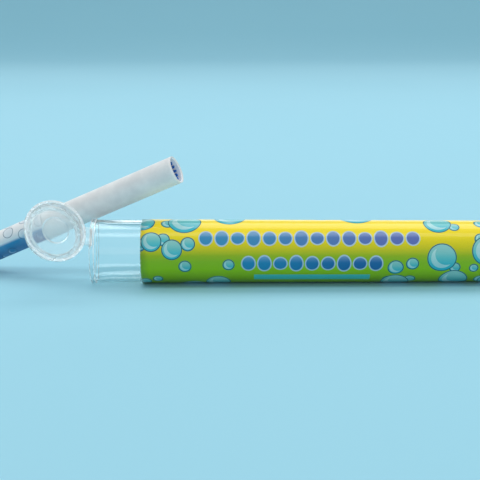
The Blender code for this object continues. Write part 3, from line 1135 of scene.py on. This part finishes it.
def one_tooth():
    """One tooth with its share of the ring below it."""
    pitch = 2 * pi * INSERT_RADIUS / NOZZLE_TEETH
    valley = NOZZLE_TOP - SLOT_DEPTH
    foot = NOZZLE_TOP - NOZZLE_LENGTH
    bore = INSERT_RADIUS - NOZZLE_WALL
    outline = rounded([
        (0.0, valley, 0.0),
        (SLOT_FLAT / 2, valley, TOOTH_ROUNDING),
        (SLOT_WIDTH / 2, NOZZLE_TOP, TOOTH_ROUNDING),
        (pitch - SLOT_WIDTH / 2, NOZZLE_TOP, TOOTH_ROUNDING),
        (pitch - SLOT_FLAT / 2, valley, TOOTH_ROUNDING),
        (pitch, valley, 0.0),
    ])
    shape = bmesh.new()
    columns = []
    for arc, top in outline:
        angle = arc / INSERT_RADIUS
        column = []
        for radius, height in ((INSERT_RADIUS, foot), (INSERT_RADIUS, top), (bore, top), (bore, foot)):
            column.append(shape.verts.new((radius * cos(angle), radius * sin(angle), height)))
        columns.append(column)
    for first, second in zip(columns, columns[1:]):
        for corner in range(4):
            after = (corner + 1) % 4
            shape.faces.new((first[corner], second[corner], second[after], first[after]))
    return to_mesh("nozzle_crown", shape)


def nozzle_crown():
    """The ring of teeth inside the tip, repeated from one tooth."""
    tooth = placed("tooth", one_tooth())
    tree = tooth_ring_tree()
    repeat = tooth.modifiers.new("repeat", "NODES")
    repeat.node_group = tree
    values = {"Teeth": NOZZLE_TEETH, "Weld": WELD, "Finish": blue_insert}
    for socket in tree.interface.items_tree:
        if socket.name in values:
            repeat[socket.identifier] = values[socket.name]
    settings = {"width": TOOTH_EDGE, "segments": 2, "limit_method": "ANGLE", "loop_slide": False}
    crown = baked(evaluated(tooth), ("BEVEL", settings), EVEN_SHADING)
    piece("nozzle_crown", crown, cig_place, "cigarette", "bubble_nozzle")


vial_shell()
label_film()
cap_shell()
hinge_strap()
paper_layers()
core_and_sleeve()
nozzle_crown()


# Stage: a pale sweep, soft lamps and the camera

FLOOR_HALF_WIDTH = 3.0
FLOOR_FRONT = -2.0
FLOOR_DROP = 0.03 * MM
SWEEP_START = 1.4
SWEEP_RADIUS = 0.8
SWEEP_HEIGHT = 2.5
SWEEP_STEPS = 24
SWEEP_BLUE = (srgb(144, 199, 216), srgb(150, 203, 219))
SWEEP_ROUGHNESS = (0.7, 0.8)
SWEEP_MOTTLE_SCALE = 3.0
SWEEP_GRAIN_SCALE = 900.0
SWEEP_RELIEF = 0.01 * MM
LAMP_DISTANCE = 1.6
ROOM_TINT = srgb(236, 244, 248)
ROOM_LIGHT = 0.5
ROOM_SEEN = 1.0


def sweep_finish():
    look, nodes, shader = finish("pale_backdrop")
    place = object_place(nodes)
    mottle = nodes.noise(place, SWEEP_MOTTLE_SCALE)
    nodes.put(shader["Base Color"], nodes.mix(mottle, *SWEEP_BLUE))
    nodes.put(shader["Roughness"], nodes.spread(mottle, *SWEEP_ROUGHNESS))
    nodes.put(shader["Normal"], bump(nodes, nodes.noise(place, SWEEP_GRAIN_SCALE), SWEEP_RELIEF))
    return look


def pale_backdrop():
    """A floor that sweeps up into a wall behind the object."""
    profile = [(FLOOR_FRONT, 0.0)]
    for step in range(SWEEP_STEPS + 1):
        turn = pi / 2 * step / SWEEP_STEPS
        profile.append((SWEEP_START + SWEEP_RADIUS * sin(turn), SWEEP_RADIUS * (1 - cos(turn))))
    profile.append((SWEEP_START + SWEEP_RADIUS, SWEEP_HEIGHT))
    shape = bmesh.new()
    left = [shape.verts.new((-FLOOR_HALF_WIDTH, y, z - FLOOR_DROP)) for y, z in profile]
    right = [shape.verts.new((FLOOR_HALF_WIDTH, y, z - FLOOR_DROP)) for y, z in profile]
    for index in range(len(profile) - 1):
        shape.faces.new((left[index], right[index], right[index + 1], left[index + 1]))
    mesh = to_mesh("backdrop", shape)
    mesh.materials.append(sweep_finish())
    made = placed("backdrop", mesh)


def soft_lamp(name, elevation, size, power, turn=0.0, lighting=True, mirrored=True):
    """A soft lamp at an elevation from the camera's side over the top, turned from there to the right.

    One that isn't mirrored gives light, but no line of its own on the clear plastic. One that isn't lighting
    gives only that line.
    """
    lamp = bpy.data.lights.new(name, "AREA")
    lamp.shape = "RECTANGLE"
    lamp.size, lamp.size_y = size
    lamp.energy = power
    made = placed(name, lamp)
    target = vial_place @ Vector((0.0, 0.0, VIAL_LENGTH / 3))
    away = Vector((sin(turn) * cos(elevation), -cos(turn) * cos(elevation), sin(elevation)))
    made.location = target + away * LAMP_DISTANCE
    made.rotation_euler = away.to_track_quat("Z", "Y").to_euler()
    made.visible_camera = False
    made.visible_diffuse = lighting
    made.visible_glossy = mirrored
    made.visible_transmission = mirrored


def soft_room():
    """A pale room that lights the object softly, and is brighter where it is seen or mirrored."""
    world = bpy.data.worlds.new("soft_room")
    bpy.context.scene.world = world
    world.use_nodes = True
    nodes = Nodes(world.node_tree)
    sky = world.node_tree.nodes["Background"].inputs
    nodes.put(sky["Color"], ROOM_TINT)
    path = nodes.node("ShaderNodeLightPath").outputs
    seen = nodes.math("MAXIMUM", path["Is Glossy Ray"], path["Is Transmission Ray"])
    seen = nodes.math("MAXIMUM", seen, path["Is Camera Ray"])
    nodes.put(sky["Strength"], nodes.math("MULTIPLY_ADD", seen, ROOM_SEEN - ROOM_LIGHT, ROOM_LIGHT))


def photo_camera():
    lens = bpy.data.cameras.new("camera")
    lens.lens = CAMERA_LENS
    lens.sensor_width = CAMERA_SENSOR
    camera = placed("camera", lens)
    look = Matrix.Rotation(CAMERA_TILT, 4, "X") @ Matrix.Rotation(CAMERA_ROLL, 4, "Z")
    camera.matrix_world = Matrix.Translation(mouth + CAMERA_FROM_MOUTH) @ look
    bpy.context.scene.camera = camera


pale_backdrop()
soft_lamp("side_fill", radians(11.0), size=(1.0, 0.5), power=8.6, turn=radians(56.0), mirrored=False)
soft_lamp("overhead_strip", radians(75.0), size=(3.0, 0.44), power=9.0)
soft_lamp("rear_softbox", radians(119.0), size=(3.0, 0.92), power=18.0)
soft_lamp("rear_strip", radians(165.0), size=(3.0, 0.5), power=6.0, lighting=False)
soft_room()
photo_camera()
bpy.context.scene.view_settings.view_transform = "Standard"
